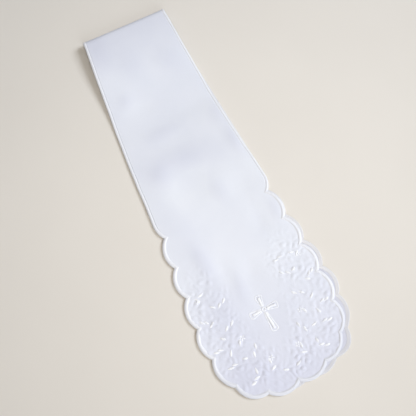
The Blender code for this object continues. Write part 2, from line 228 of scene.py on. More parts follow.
SWELLS = (
    # run, across, half length along, half breadth, height (all mm), turn in degrees
    (14.0, -34.0, 24.0, 12.0, 0.6, 0.0),
    (50.0, 28.0, 14.0, 16.0, 0.6, -30.0),
    (42.0, -10.0, 16.0, 12.0, 0.4, 20.0),
    (74.0, -29.0, 9.0, 8.0, 0.5, 0.0),
    (88.0, -16.0, 10.0, 13.0, -0.3, 0.0),
    (104.0, 26.0, 11.0, 17.0, -0.45, -15.0),
    (119.0, -10.0, 7.0, 19.0, 0.45, 6.0),
    (121.0, 45.0, 12.0, 8.0, 0.5, 0.0),
    (150.0, -4.0, 12.0, 34.0, 0.7, -9.0),
    (157.0, -30.0, 11.0, 10.0, 0.7, -25.0),
    (153.0, 48.0, 16.0, 6.0, 0.6, 0.0),
    (181.0, -16.0, 13.0, 17.0, -0.5, 30.0),
    (192.0, 12.0, 14.0, 9.0, 0.55, 10.0),
    (195.0, 34.0, 13.0, 12.0, -0.7, 0.0),
    (235.0, 32.0, 10.0, 8.0, -0.5, 0.0),
    (216.0, 33.0, 12.0, 8.0, -0.3, 0.0),
    (246.0, -30.0, 17.0, 7.0, 0.8, 6.0),
    (232.0, 51.0, 14.0, 6.0, 0.5, 0.0),
    (263.0, -17.0, 14.0, 7.0, -0.4, 0.0),
    (270.0, 6.0, 12.0, 8.0, -0.45, 0.0),
    (282.0, -10.0, 14.0, 6.0, 0.5, -8.0),
    (205.0, -40.0, 45.0, 17.0, 0.5, 0.0),
    (290.0, -34.0, 34.0, 19.0, 0.8, 0.0),
    (352.0, -32.0, 22.0, 24.0, 0.6, 0.0),
)
print("swells:", len(SWELLS))


# %% The height of the upper half, and how far it lies aside
def smooth(x):
    """3 x squared - 2 x cubed, with x held between 0 and 1."""
    x = np.clip(x, 0.0, 1.0)
    return x * x * (3.0 - 2.0 * x)


def swells(run, across):
    """The sum of bells: height x exp(-(along / length) squared - (beside / breadth) squared)."""
    total = np.zeros(np.broadcast(run, across).shape)
    for place, side, length, breadth, rise, turn in SWELLS:
        cosine, sine = math.cos(math.radians(turn)), math.sin(math.radians(turn))
        du, dv = run / MM - place, across / MM - side
        along = (du * cosine + dv * sine) / length
        beside = (dv * cosine - du * sine) / breadth
        total += rise * MM * np.exp(-along ** 2 - beside ** 2)
    return total


def upper_height(run, across):
    """Middle of the upper half's wall: the roll eased down to rest, the sink and the swells."""
    roll_top = 2.0 * FOLD_RADIUS + WALL / 2.0
    fallen = smooth((run - FOLD_RADIUS) / (FOLD_FALL - FOLD_RADIUS))
    inside = smooth(1.0 - np.abs(across) / SINK_HALF_WIDTH)
    sink = MIDDLE_SINK * fallen * inside * smooth((SINK_END - run) / SINK_FADE)
    swelling = swells(run, across) * smooth((run - FOLD_RADIUS) / SWELL_FADE)
    return roll_top + (UPPER_REST - roll_top) * fallen - sink + swelling


def wander(run):
    """From each place in WANDER to the next the strip goes aside by 3 s squared - 2 s cubed."""
    share = smooth((run[..., None] - WANDER[:-1, 0]) / np.diff(WANDER[:, 0]))
    return WANDER[0, 1] + (share * np.diff(WANDER[:, 1])).sum(axis=-1)


def slant(run, across):
    """The neck fold lies askew: +Y by NECK_SLANT x the distance from its left end."""
    return (NECK_SLANT * (across + NECK_HALF_WIDTH)
            * smooth(1.0 - (run - FOLD_RADIUS) / SLANT_FADE))


# %% Where the CAD has put the stole
CROSS_CENTRE = np.array((306.8, -0.1)) * MM
CROSS_TOP = 14.0 * MM
CAD_CROSS = np.array((-0.2, -306.8)) * MM
OFF_FLOOR = 0.03 * MM
cross_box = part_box("cross")
PLACE = np.array(((cross_box[0][0] + cross_box[1][0]) / 2.0 - CAD_CROSS[0],
                  cross_box[1][1] - CROSS_TOP - CAD_CROSS[1], 0.0))
print("middle line and neck fold, m:", PLACE[:2].round(4))


# %% From the pattern to places in space
def place_upper(run, across, lift=0.0):
    """Points of the upper half: x = across + wander, y = -run + slants, z = height + lift."""
    run, across, lift = np.broadcast_arrays(run, across, lift)
    at_tip = smooth((run - TAB_SLANT_START) / (TAB_SLANT_END - TAB_SLANT_START))
    y = slant(run, across) - run + TAB_SLANT * across * at_tip
    x, z = across + wander(run), upper_height(run, across) + lift
    return np.stack((x, y, z), axis=-1) + PLACE


def place_turn(turn, across, lift=0.0):
    """Points of the roll: a half circle from +90 degrees on top to -90 degrees below."""
    turn, across, lift = np.broadcast_arrays(turn, across, lift)
    y = slant(FOLD_RADIUS, across) + (FOLD_RADIUS + lift) * np.cos(turn) - FOLD_RADIUS
    z = FOLD_RADIUS + WALL / 2.0 + (FOLD_RADIUS + lift) * np.sin(turn)
    z = z + OFF_FLOOR * (1.0 - np.sin(turn)) / 2.0
    return np.stack((across, y, z), axis=-1) + PLACE


def place_lower(run, across, lift=0.0):
    """Points of the lower half, eased over to +X along its tab, and aside and down at its tip."""
    run, across, lift = np.broadcast_arrays(run, across, lift)
    at_tip = smooth((run - TIP_START) / (TIP_END - TIP_START))
    x = across + LOWER_SWING * smooth((run - SWING_START) / (SWING_END - SWING_START))
    short = LOWER_SHORT * (run - FOLD_RADIUS) / (NOTCHES[-1, 0] - FOLD_RADIUS)
    y = slant(run, across) - run + short - TIP_DROP * at_tip
    return np.stack((x + TIP_SWING * at_tip, y, WALL / 2.0 + OFF_FLOOR - lift), axis=-1) + PLACE


print("height at the roll and at rest, mm:",
      (upper_height(np.array((FOLD_RADIUS, 0.2)), 0.05) / MM).round(2))

# %% [markdown]
# ## Where the stitches run
#
# The sprays are drawn on the pattern before the cloth is made, because the needle pulls the
# cloth down beside each stitch and the cloth has to know where. A vine is a smooth curve
# through a few points. Side stems leave it at a small angle and curl away, and leaves grow on
# both sides by turns. The left spray is the right one's mirror image, but for the first scroll
# at its top, which it lacks.

# %% Drawing helpers
def turned(degrees):
    """Unit vectors at angles from the run direction."""
    angle = np.radians(degrees)
    return np.stack((np.cos(angle), np.sin(angle)), axis=-1)


def smooth_path(table, steps):
    """The Catmull-Rom curve through every row of a table, all stretches at once."""
    rows = np.asarray(table, float)
    ends = np.vstack((2.0 * rows[0] - rows[1], rows, 2.0 * rows[-1] - rows[-2]))
    a, b, c, d = (ends[k:len(ends) - 3 + k, None] for k in range(4))
    s = (np.arange(steps) / steps)[None, :, None]
    curve = b + 0.5 * s * (c - a + s * (2.0 * a - 5.0 * b + 4.0 * c - d
                                        + s * (3.0 * (b - c) + d - a)))
    return np.vstack((curve.reshape(-1, 2), rows[-1:]))


def along_path(path, share):
    """Points at shares of a path's length."""
    length = np.concatenate(((0.0,), np.cumsum(np.linalg.norm(np.diff(path, axis=0), axis=1))))
    at = np.asarray(share) * length[-1]
    return np.stack([np.interp(at, length, column) for column in path.T], axis=-1)


# %% The spray
VINE = np.array((
    # run, across
    (265.0, 37.5), (275.0, 43.0), (287.5, 42.0), (300.0, 44.5), (313.0, 45.5),
    (325.0, 41.0), (335.0, 37.0), (345.0, 30.5), (353.5, 20.5), (358.5, 9.0),
)) * MM
SCROLLS = (
    # share of the vine, angle off it in degrees (+ to the edge), length in mm, curl, flower
    (0.03, -35.0, 10.0, -95.0, False),
    (0.12, 35.0, 7.5, 95.0, True),
    (0.21, -32.0, 13.0, -105.0, False),
    (0.31, 34.0, 8.5, 90.0, False),
    (0.38, -32.0, 15.0, -110.0, False),
    (0.50, 34.0, 8.5, 95.0, False),
    (0.56, -32.0, 16.0, -110.0, True),
    (0.66, 34.0, 9.5, 90.0, False),
    (0.73, -32.0, 16.0, -105.0, False),
    (0.82, 34.0, 11.0, 95.0, False),
    (0.89, -32.0, 12.0, -90.0, True),
)
LEAF = (6.2 * MM, 2.6 * MM)
PETAL = (2.4 * MM, 1.5 * MM)
LEAF_ANGLE = 46.0
VINE_STEPS = 12
FIRST_LEAF, LEAF_EVERY, LAST_LEAF = 8, 13, 4
SCROLL_STEPS = 14
SCROLL_LEAF = 0.55
PETALS = 5
PETAL_OUT = 0.4 * MM


def spray(scrolls):
    """Stems as paths, leaves as rows of root, heading, length and width, and flower hearts."""
    vine = smooth_path(VINE, VINE_STEPS)
    last = len(vine) - 1
    heading = np.gradient(vine, axis=0)
    aim = np.degrees(np.arctan2(heading[:, 1], heading[:, 0]))
    at = np.arange(FIRST_LEAF, last - LAST_LEAF, LEAF_EVERY)
    hand = np.where(np.arange(len(at)) % 2 == 0, 1.0, -1.0)
    leaves = [np.column_stack((vine[at], turned(aim[at] + hand * LEAF_ANGLE),
                               np.tile(LEAF, (len(at), 1))))]
    leaves.append(np.hstack((vine[-1:], turned(aim[-1:]), [LEAF])))
    stems, hearts = [vine], []
    for share, angle, length, curl, flower in scrolls:
        root = round(share * last)
        way = turned(aim[root] + angle + curl * (np.arange(SCROLL_STEPS) + 0.5) / SCROLL_STEPS)
        steps = np.vstack(((0.0, 0.0), np.cumsum(way, axis=0)))
        path = vine[root] + steps * length * MM / SCROLL_STEPS
        stems.append(path)
        grows = np.array((SCROLL_LEAF,))
        lean = math.copysign(LEAF_ANGLE, curl)
        leaves.append(np.column_stack((along_path(path, grows),
                                       turned(aim[root] + angle + curl * grows + lean),
                                       [LEAF])))
        end = aim[root] + angle + curl
        if flower:
            petal = turned(end + 360.0 / PETALS * (np.arange(PETALS) + 0.5))
            leaves.append(np.column_stack((path[-1] + petal * PETAL_OUT, petal,
                                           np.tile(PETAL, (PETALS, 1)))))
            hearts.append(path[-1])
        else:
            leaves.append(np.hstack((path[-1:], turned([end]), [LEAF])))
    return stems, np.vstack(leaves), np.array(hearts)


SPRAYS = {1.0: spray(SCROLLS), -1.0: spray(SCROLLS[1:])}
for side, (stems, leaves, hearts) in SPRAYS.items():
    print("side", side, "stems:", len(stems), "leaves and petals:", len(leaves),
          "flower hearts:", len(hearts))

# %% [markdown]
# ## The cross, drawn
#
# Each arm has a padded satin bar down its middle and a fine line of stitches round it, which
# flares towards the arm's end and closes in a blunt point. A small ring covers the place where
# the arms meet. Drawn as bare paths first, they tell the cloth where it is pulled down.

# %% The cross as paths
ARMS = (
    # angle from the run direction, reach of the outline, start and end of the bar (mm)
    (4.0, 20.0, 2.4, 18.6),
    (87.0, 12.6, 2.4, 11.3),
    (180.0, 12.6, 2.4, 11.3),
    (274.0, 13.2, 2.4, 11.3),
)
ARM_WAIST = 1.2 * MM
ARM_SHOULDER = 2.9 * MM
ARM_START = 2.2 * MM
ARM_CORNER = 0.9 * MM
ARM_CAP = (0.62, 0.3 * MM)
BAR_POINTS, FLARE_POINTS, OUTLINE_STEPS = 60, 4, 8
RING_RADIUS = 1.6 * MM
RING_POINTS = 49


def cross_paths():
    """The bars' middle lines, the outlines of the four arms, and the ring, as paths.

    An outline flares evenly from ARM_WAIST to ARM_SHOULDER, goes round a corner to ARM_CAP (a
    share of the shoulder, and how far the point stands beyond the reach), and comes back.
    """
    bars, outlines = [], []
    for angle, reach, start, end in ARMS:
        way, beside = turned(angle), turned(angle + 90.0)
        bars.append(CROSS_CENTRE + way * np.linspace(start, end, BAR_POINTS)[:, None] * MM)
        flare = np.linspace(0.0, 1.0, FLARE_POINTS)[:, None]
        out = ARM_START + (reach * MM - ARM_CORNER - ARM_START) * flare
        aside = ARM_WAIST + (ARM_SHOULDER - ARM_WAIST) * flare
        cap = np.array(((reach * MM, ARM_SHOULDER * ARM_CAP[0]),
                        (reach * MM + ARM_CAP[1], 0.0)))
        half = np.vstack((np.hstack((out, aside)), cap))
        whole = np.vstack((half, half[-2::-1] * (1.0, -1.0)))
        corners = CROSS_CENTRE + way * whole[:, :1] + beside * whole[:, 1:]
        outlines.append(smooth_path(corners, OUTLINE_STEPS))
    ring = CROSS_CENTRE + turned(np.linspace(0.0, 360.0, RING_POINTS)) * RING_RADIUS
    return bars, outlines, ring


cross_bars, cross_outlines, cross_ring = cross_paths()
print("arms:", len(cross_bars))

# %% [markdown]
# ## Puckers
#
# Beside a line of stitches the cloth is pulled down, and between the lines it stands up in
# small uneven puffs with creases between them. The pull depends only on the distance to the
# nearest stitch, so it is worked out as one table of distances. The puffs come from a field of
# crossed waves in many directions: its size, with the sign dropped, is round on top and
# creased where the field passes through nought. They fade out a little way inside the sprays
# and only near the edging outside them, because the cloth is held there on both sides.

# %% The pull of the stitches
def sewn_places(stems, leaves):
    """Places on every stem, and three in each leaf: root + length x (0.2, 0.5, 0.8) x heading."""
    middles = (leaves[:, :2, None] + leaves[:, 2:4, None] * leaves[:, 4, None, None]
               * np.array((0.2, 0.5, 0.8))).transpose(0, 2, 1).reshape(-1, 2)
    return np.vstack([stem[::2] for stem in stems] + [middles])


sprays_sewn = np.vstack([sewn_places(*sewn[:2]) * (1.0, side) for side, sewn in SPRAYS.items()])
cross_sewn = np.vstack([path[::3] for path in cross_bars + cross_outlines])
SEWN_FROM = 240.0 * MM
FAR = 1.0


def nearest(run, across, sewn):
    """Distance from each point to the nearest of the sewn places, and FAR up the strip."""
    flat = np.stack((run, across), axis=-1).reshape(-1, 2)
    near = np.full(len(flat), FAR)
    inside = flat[:, 0] > SEWN_FROM
    near[inside] = np.sqrt(((flat[inside, None] - sewn[None]) ** 2).sum(axis=2).min(axis=1))
    return near.reshape(run.shape)


print("sewn places:", len(sprays_sewn), "in the sprays,", len(cross_sewn), "in the cross")

# %% The puffs between them
PULL_DEPTH = 0.22 * MM
PULL_WIDTH = 1.5 * MM
PUFF_HEIGHT = 0.31 * MM
PUFF_REACH = 12.0 * MM
PUFF_REACH_OUT = 21.0 * MM
TAB_CENTRE = 300.0 * MM
TAB_ACROSS = 1.25
VINE_RADIUS = 57.0 * MM
VINE_MARGIN = 8.0 * MM
CREASE = 0.08
PUFF_MIDDLE = 0.8
FADE_START = 1.15
WAVES = 24
# the root of half the number of waves, so the field's spread is about 1
FIELD_SPREAD = 3.46
chance = np.random.default_rng(11)
WAVE_TURN = chance.uniform(0.0, math.pi, WAVES)
WAVE_LENGTH = chance.uniform(5.0, 11.5, WAVES) * MM
WAVE_START = chance.uniform(0.0, 2.0 * math.pi, WAVES)


def puckers(run, across):
    """Pull x exp(-(d / width) squared) down, puff x (|sum of waves| - middle) near the sprays.

    CREASE rounds the bottom of each crease a little. Near means within PUFF_REACH on the
    vine's inner side and PUFF_REACH_OUT on its outer side, where the distance from TAB_CENTRE,
    with across stretched, is more than VINE_RADIUS.
    """
    by_spray, by_cross = nearest(run, across, sprays_sewn), nearest(run, across, cross_sewn)
    phase = (run[..., None] * np.cos(WAVE_TURN) + across[..., None] * np.sin(WAVE_TURN))
    field = (np.sin(2.0 * math.pi * phase / WAVE_LENGTH + WAVE_START)
             * WAVE_LENGTH).sum(axis=-1) / (FIELD_SPREAD * WAVE_LENGTH.mean())
    puff = np.sqrt(field ** 2 + CREASE) - PUFF_MIDDLE
    outside = smooth((np.hypot(run - TAB_CENTRE, TAB_ACROSS * across) - VINE_RADIUS) / VINE_MARGIN)
    reach = PUFF_REACH + (PUFF_REACH_OUT - PUFF_REACH) * outside
    near = smooth(FADE_START - by_spray / reach)
    pull = (np.exp(-(by_spray / PULL_WIDTH) ** 2) + np.exp(-(by_cross / PULL_WIDTH) ** 2))
    return near * PUFF_HEIGHT * puff - PULL_DEPTH * pull


# %% [markdown]
# ## From a grid to a mesh
#
# Every new piece is a surface: a grid of points that a formula gives, row by row and column by
# column. One helper turns such grids into a mesh. A grid can be closed round its columns, as a
# tube is, or round its rows, as a ring is. Points that fall together are merged, and the
# normals are then made to face outwards.

# %% Mesh helpers
TOGETHER = 0.0002 * MM


def placed(name, data):
    """A new object with this data, linked to the scene."""
    thing = bpy.data.objects.new(name, data)
    bpy.context.scene.collection.objects.link(thing)
    return thing


def grid_faces(rows, columns, closed_rows=False, closed_columns=False):
    """Four corners for each square of a grid, as numbers of its points."""
    index = np.arange(rows * columns).reshape(rows, columns)
    if closed_rows:
        index = np.vstack((index, index[:1]))
    if closed_columns:
        index = np.hstack((index, index[:, :1]))
    return np.stack((index[:-1, :-1], index[1:, :-1], index[1:, 1:], index[:-1, 1:]),
                    axis=-1).reshape(-1, 4)


def piece_from_grids(name, grids, uvs=None, closed_rows=False, closed_columns=False):
    """One object made of several grids, each an array of rows x columns x 3."""
    points, faces, flat, count = [], [], [], 0
    for number, grid in enumerate(grids):
        rows, columns = grid.shape[:2]
        faces.append(grid_faces(rows, columns, closed_rows, closed_columns) + count)
        points.append(grid.reshape(-1, 3))
        if uvs is not None:
            flat.append(uvs[number].reshape(-1, 2))
        count += rows * columns
    points, faces = np.vstack(points), np.vstack(faces)
    mesh = bpy.data.meshes.new(name)
    mesh.from_pydata(points, [], faces)
    if uvs is not None:
        layer = mesh.uv_layers.new(name="pattern")
        layer.data.foreach_set("uv", np.vstack(flat)[faces.ravel()].ravel())
    shape = bmesh.new()
    shape.from_mesh(mesh)
    bmesh.ops.remove_doubles(shape, verts=shape.verts, dist=TOGETHER)
    bmesh.ops.dissolve_degenerate(shape, edges=shape.edges, dist=TOGETHER / 2.0)
    bmesh.ops.recalc_face_normals(shape, faces=shape.faces)
    shape.to_mesh(mesh)
    shape.free()
    mesh.shade_smooth()
    print(name, "faces:", len(mesh.polygons))
    return placed(name, mesh)


# %% [markdown]
# ## The cloth
#
# The strip is one surface: the upper half, the roll at the neck and the lower half, in one run
# of rows. Each row goes from edge to edge. In the straight part the rows lie straight across.
# In the rounded tab the edge turns inwards, so the rows bow towards the tip. The surface is
# the middle of the cloth, and Solidify gives it its wall.

# %% The strip of cloth
UNDER_CORD = 0.7 * MM
COLUMNS = 121
STRAIGHT_ROWS_END = NOTCHES[4, 0]
UV_SPAN = 0.8
# the lower half lies on its cord's crest: how far its edge rises, and over what breadth
CLOTH_LIFT = 0.33 * MM
EDGE_RISE = 10.0 * MM
# cloth above this height is the upper half
PARTED_ABOVE = 1.45 * MM
# distance between rows at the scallops, and along the straight part
UPPER_ROWS = (1.15 * MM, 3.4 * MM)
LOWER_ROWS = (5.0 * MM, 8.0 * MM)
ROLL_STEPS = 16


def strip_half(step, plain, spread):
    """run = edge run + (middle run - edge run)(1 - spread squared), across = half x spread.

    The edge lies UNDER_CORD inside the middle of the edging. The middle run is the edge's own
    as far as STRAIGHT_ROWS_END, and from there it goes evenly to the tip.
    """
    point, _, lean, _ = half_edge(step, plain, 0)
    edge = point - lean * UNDER_CORD
    run, half = edge[:, 0], edge[:, 1]
    turning = int(np.argmax(point[:, 0] >= STRAIGHT_ROWS_END - TINY))
    middle = run.copy()
    middle[turning:] = np.linspace(run[turning], run[-1], len(run) - turning)
    return run[:, None] + (middle - run)[:, None] * (1.0 - spread ** 2), half[:, None] * spread


# %% Upper half, roll and lower half
spread = np.linspace(-1.0, 1.0, COLUMNS)
upper_run, upper_across = strip_half(*UPPER_ROWS, spread)
lower_run, lower_across = strip_half(*LOWER_ROWS, spread)
upper = place_upper(upper_run, upper_across, puckers(upper_run, upper_across))
from_edge = np.minimum(np.abs(lower_across[:, :1]) - np.abs(lower_across),
                       NOTCHES[-1, 0] - lower_run)
lower = place_lower(lower_run, lower_across, -CLOTH_LIFT * smooth(1.0 - from_edge / EDGE_RISE))
turns = np.linspace(math.pi / 2.0, -math.pi / 2.0, ROLL_STEPS + 1)[1:-1, None]
roll = place_turn(turns, upper_across[:1])
rising = smooth(1.0 - (np.abs(upper_across[:1, :1]) - np.abs(upper_across[:1])) / EDGE_RISE)
roll[..., 2] += CLOTH_LIFT * rising * (1.0 - np.sin(turns)) / 2.0
strip = np.concatenate((upper[::-1], roll, lower))
print("rows of cloth:", len(strip), "triangles with its wall:", 4 * strip.shape[0] * COLUMNS)

# %% The cloth with its map and its wall
roll_travel = FOLD_RADIUS * np.sin(turns) + 0.0 * upper_across[:1]
travel = np.concatenate((upper_run[::-1], roll_travel, -lower_run))
width = np.concatenate((upper_across[::-1], np.repeat(upper_across[:1], len(turns), axis=0),
                        lower_across))
strip_uv = np.stack((width, travel), axis=-1) / UV_SPAN + 0.5
cloth = piece_from_grids("stole_cloth", [strip], [strip_uv])
wall = cloth.modifiers.new("wall", "SOLIDIFY")
wall.thickness = WALL
wall.offset = 0.0
wall.use_even_offset = True

# %% Where the two layers part, for the painted shade of the swells
spots = np.empty(3 * len(cloth.data.vertices))
cloth.data.vertices.foreach_get("co", spots)
spots = spots.reshape(-1, 3)
spot_run = PLACE[1] - spots[:, 1]
parted = swells(spot_run, spots[:, 0] - PLACE[0] - wander(spot_run)) / MM
swell_shade_heights = cloth.data.attributes.new("swell_shade_heights", "FLOAT", "POINT")
swell_shade_heights.data.foreach_set("value", np.where(spots[:, 2] > PARTED_ABOVE, parted, 0.0))
print("layers parted by, mm:", parted.min().round(2), "to", parted.max().round(2))

# %% [markdown]
# ## The corded edging
#
# The edge is finished with a cord laid along it and covered by close satin stitch, so it reads
# as a smooth raised line. It is a profile carried along the edge, one row for each side of
# each stitch: it rises softly from the cloth to its crest, falls more steeply outside it, and
# closes underneath round the cut edge. Every second row is a little smaller, which leaves
# shallow grooves between the threads. The ring runs up one side, round the roll and back
# underneath, where its crest touches the surface and so lifts the cloth's edge a little.

# %% The profile of the cord
CORD = np.array((
    # foot, crest and outer end beside the seam line, foot and crest above the wall's middle
    (-1.45, 0.50, 1.95, 0.16, 0.66),
    (-2.35, -0.40, 1.80, 0.15, 0.87),
)) * MM
CORD_WIDENS = (195.0 * MM, 228.0 * MM)
# shares of the way from the crest to the outer end, then shares of that end and depths below
OUTER_SHARES = np.array((0.25, 0.5, 0.7, 0.85, 0.95, 1.0))
UNDER_SHARES = np.array((0.85, 0.60, 0.20, -0.25, -0.70))
CORD_UNDER = 0.62 * MM * np.array((0.95, 1.0, 0.75, 0.45, 0.30))
ROOM_USED = 0.97
LEAST_ROOM = 0.01 * MM
STITCH = 0.29 * MM
FAN = 6
GROOVE = 0.06
CORD_LIFT = 0.57 * MM
AT_NOTCH = 1e-6 * MM


def cord_section(share):
    """Reach and height of the profile at each row, from the straight one (0) to the wide (1).

    Inside the crest the height is foot + (top - foot) x cos squared of a quarter turn, and
    outside it is top x cos to the power 3/4. The underside hangs lowest near its outer end.
    """
    foot, crest, end, low, top = (CORD[0] + (CORD[1] - CORD[0]) * share[:, None]).T[..., None]
    inner = np.linspace(1.0, 0.0, 7)
    rise = low + (top - low) * np.cos(inner * math.pi / 2.0) ** 2
    fall = top * np.cos(OUTER_SHARES * math.pi / 2.0) ** 0.75
    reach = np.hstack((crest - inner * (crest - foot), crest + OUTER_SHARES * (end - crest),
                       UNDER_SHARES * end))
    return reach, np.hstack((rise, fall, 0.0 * end - CORD_UNDER))


print("points round the cord:", cord_section(np.zeros(1))[0].shape[1])


def cord_rows(point, facing, lean, room, thick):
    """The profile at each row, thinner in a groove, and held back where a notch leaves no room.

    The rows at a notch itself have no grooves, so they meet on one line and close the ring.
    """
    thick = np.where(room < AT_NOTCH, 1.0, thick)
    share = smooth((point[:, 0] - CORD_WIDENS[0]) / (CORD_WIDENS[1] - CORD_WIDENS[0]))
    reach, height = cord_section(share)
    d = np.minimum(reach * thick[:, None], (ROOM_USED * room + LEAST_ROOM)[:, None])
    way = np.where((d < 0.0)[..., None], lean[:, None], facing[:, None])
    flat = point[:, None] + d[..., None] * way
    return flat[..., 0], flat[..., 1], height * thick[:, None]


# %% The ring of edging
def grooved(count):
    """Thickness of each row: 1 and 1 - GROOVE by turns."""
    return 1.0 - GROOVE * (np.arange(count) % 2)


def edging_side(side):
    """Rows of one long side: up the upper half from its tip, round the roll, down the lower."""
    upper_rows = half_edge(STITCH, STITCH, FAN)
    run, across, off = cord_rows(*upper_rows, grooved(len(upper_rows[0])))
    top = place_upper(run, side * across, off)[::-1]
    count = round(math.pi * FOLD_RADIUS / STITCH)
    turn = np.linspace(math.pi / 2.0, -math.pi / 2.0, count + 1)[1:-1, None]
    bend = place_turn(turn, side * across[:1], off[:1] * grooved(count)[1:, None])
    bend[..., 2] += CORD_LIFT * (1.0 - np.sin(turn)) / 2.0
    lower_rows = half_edge(2.0 * STITCH, 2.0 * STITCH, FAN // 2)
    run, across, off = cord_rows(*lower_rows, grooved(len(lower_rows[0])))
    bottom = place_lower(run, side * across, off)
    bottom[..., 2] += CORD_LIFT
    return np.concatenate((top, bend, bottom))


RING_SPAN = 2.0
ROUND_SPAN = 0.01


def ring_uv(grid):
    """u = way along the ring in metres / RING_SPAN, v = share of the way round x ROUND_SPAN."""
    along = np.linalg.norm(np.diff(grid[:, 4], axis=0), axis=1)
    u = np.concatenate(((0.0,), np.cumsum(along)))
    v = np.arange(grid.shape[1]) / grid.shape[1]
    return np.stack(np.broadcast_arrays(u[:, None] / RING_SPAN, v[None] * ROUND_SPAN), axis=-1)


right, left = edging_side(1.0), edging_side(-1.0)
ring = np.concatenate((right, left[-2:0:-1]))
edging = piece_from_grids("stole_edging", [ring], [ring_uv(ring)], True, True)

# %% [markdown]
# ## Satin stitches on the cloth
#
# A satin-stitch leaf is a small dome: stitches lie side by side from one outline to the other,
# slanting from the vein, and the padding under them makes the middle stand up. So a leaf is a
# surface over two numbers, how far along it is and how far to the side. A stem or a bar is the
# same dome carried along a path.

# %% Leaves and petals
SIDEWAYS = np.linspace(-1.0, 1.0, 7)
LEAF_ROWS = 19
LEAF_CROWN = 0.62 * MM
LEAF_GROOVE = 0.08
SUNK = 0.15 * MM
DOME_FALL = 0.985
LEAF_SLANT = 0.5


def on_cloth(run, across, height):
    """Lays a motif on the cloth's upper face, puckers included, sunk a little into it."""
    return place_upper(run, across, puckers(run, across) + WALL / 2.0 - SUNK + height)


def dome(q):
    """1 - DOME_FALL x |q| cubed: a broad soft crown with its slopes near the sides."""
    return 1.0 - DOME_FALL * np.abs(q) ** 3


def leaf_grids(table, side):
    """Each leaf over s, how far along it is (0 to 1), and q, how far to the side (-1 to 1).

    half width = width / 2 x sin(pi s) to the power 0.85, height = crown x root of sin(pi s)
    x dome(q), and a row slants forward by LEAF_SLANT of its distance from the vein.
    """
    s = np.linspace(0.0, 1.0, LEAF_ROWS)[None, :, None]
    q = SIDEWAYS[None, None]
    root, way = table[:, None, None, :2], table[:, None, None, 2:4]
    length, breadth = table[:, 4, None, None], table[:, 5, None, None]
    groove = 1.0 - LEAF_GROOVE * (np.arange(LEAF_ROWS) % 2)[None, :, None]
    half = breadth / 2.0 * np.abs(np.sin(math.pi * s)) ** 0.85
    crown = (LEAF_CROWN * groove * np.abs(np.sin(math.pi * s)) ** 0.5 * dome(q)
             * breadth / LEAF[1])
    along = length * s + LEAF_SLANT * half * np.abs(q)
    beside = half * q
    run = root[..., 0] + way[..., 0] * along - way[..., 1] * beside
    across = root[..., 1] + way[..., 1] * along + way[..., 0] * beside
    return on_cloth(run, side * across, crown)


# %% Bands and knots
HEART = (0.75 * MM, 0.95 * MM)
HEART_RINGS, HEART_SIDES = 5, 10


def band(path, half_width, crown, groove, pinch, closed=False):
    """A domed band along a path of close points, with drawn-in ends.

    Every second row is lower by groove, and at every fourth the band is narrower by pinch,
    as it is between two stitches of a line.
    """
    heading = np.gradient(path, axis=0)
    if closed:
        heading[0] = heading[-1] = path[1] - path[-2]
    heading /= np.linalg.norm(heading, axis=1)[:, None]
    number = np.arange(len(path))
    ends = np.ones(len(path))
    if not closed:
        ends = np.sqrt(np.clip(np.minimum(number, number[::-1]) / 2.0, 0.0, 1.0))
    q = SIDEWAYS[None]
    half = (half_width * ends * (1.0 - pinch * (number % 4 == 0)))[:, None]
    run = path[:, 0, None] - heading[:, 1, None] * half * q
    across = path[:, 1, None] + heading[:, 0, None] * half * q
    return run, across, crown * ((1.0 - groove * (number % 2)) * ends)[:, None] * dome(q)


def close_points(path, step):
    """The same path with points a step apart."""
    length = np.linalg.norm(np.diff(path, axis=0), axis=1).sum()
    return along_path(path, np.linspace(0.0, 1.0, max(8, round(length / step)) + 1))


def heart_grids(spots, side):
    """A knot: a flat foot, then rings up a half ball with HEART as its radius and its height."""
    rise = np.linspace(0.0, math.pi / 2.0, HEART_RINGS)
    wide = HEART[0] * np.concatenate(((0.0,), np.cos(rise)))[None, :, None]
    high = HEART[1] * np.concatenate(((0.0,), np.sin(rise)))[None, :, None]
    turn = np.linspace(0.0, 2.0 * math.pi, HEART_SIDES, endpoint=False)[None, None]
    run = spots[:, 0, None, None] + wide * np.cos(turn)
    across = spots[:, 1, None, None] + wide * np.sin(turn)
    return on_cloth(run, side * across, high + 0.0 * turn)


# %% Two sprays
STEM_HALF_WIDTH = 0.28 * MM
STEM_CROWN = 0.13 * MM
STEM_STEP, STEM_PINCH = 0.40 * MM, 0.35
sprays = []
for name, side in (("stole_spray_right", 1.0), ("stole_spray_left", -1.0)):
    stems, leaves, hearts = SPRAYS[side]
    grids = list(leaf_grids(leaves, side)) + list(heart_grids(hearts, side))
    for stem in stems:
        run, across, crown = band(close_points(stem, STEM_STEP), STEM_HALF_WIDTH, STEM_CROWN,
                                  0.0, STEM_PINCH)
        grids.append(on_cloth(run, side * across, crown))
    sprays.append(piece_from_grids(name, grids, closed_columns=True))

# %% The cross, sewn
BAR_STEP, OUTLINE_STEP = 0.28 * MM, 0.40 * MM
# half width, crown, groove, pinch
BAR = (1.40 * MM, 0.80 * MM, 0.10, 0.0)
OUTLINE = (0.62 * MM, 0.42 * MM, 0.0, 0.30)
RING = (0.80 * MM, 0.62 * MM, 0.10, 0.0)
grids = [on_cloth(*band(close_points(bar, BAR_STEP), *BAR)) for bar in cross_bars]
grids += [on_cloth(*band(close_points(line, OUTLINE_STEP), *OUTLINE)) for line in cross_outlines]
grids.append(on_cloth(*band(cross_ring, *RING, closed=True)))
cross = piece_from_grids("stole_cross", grids, closed_columns=True)
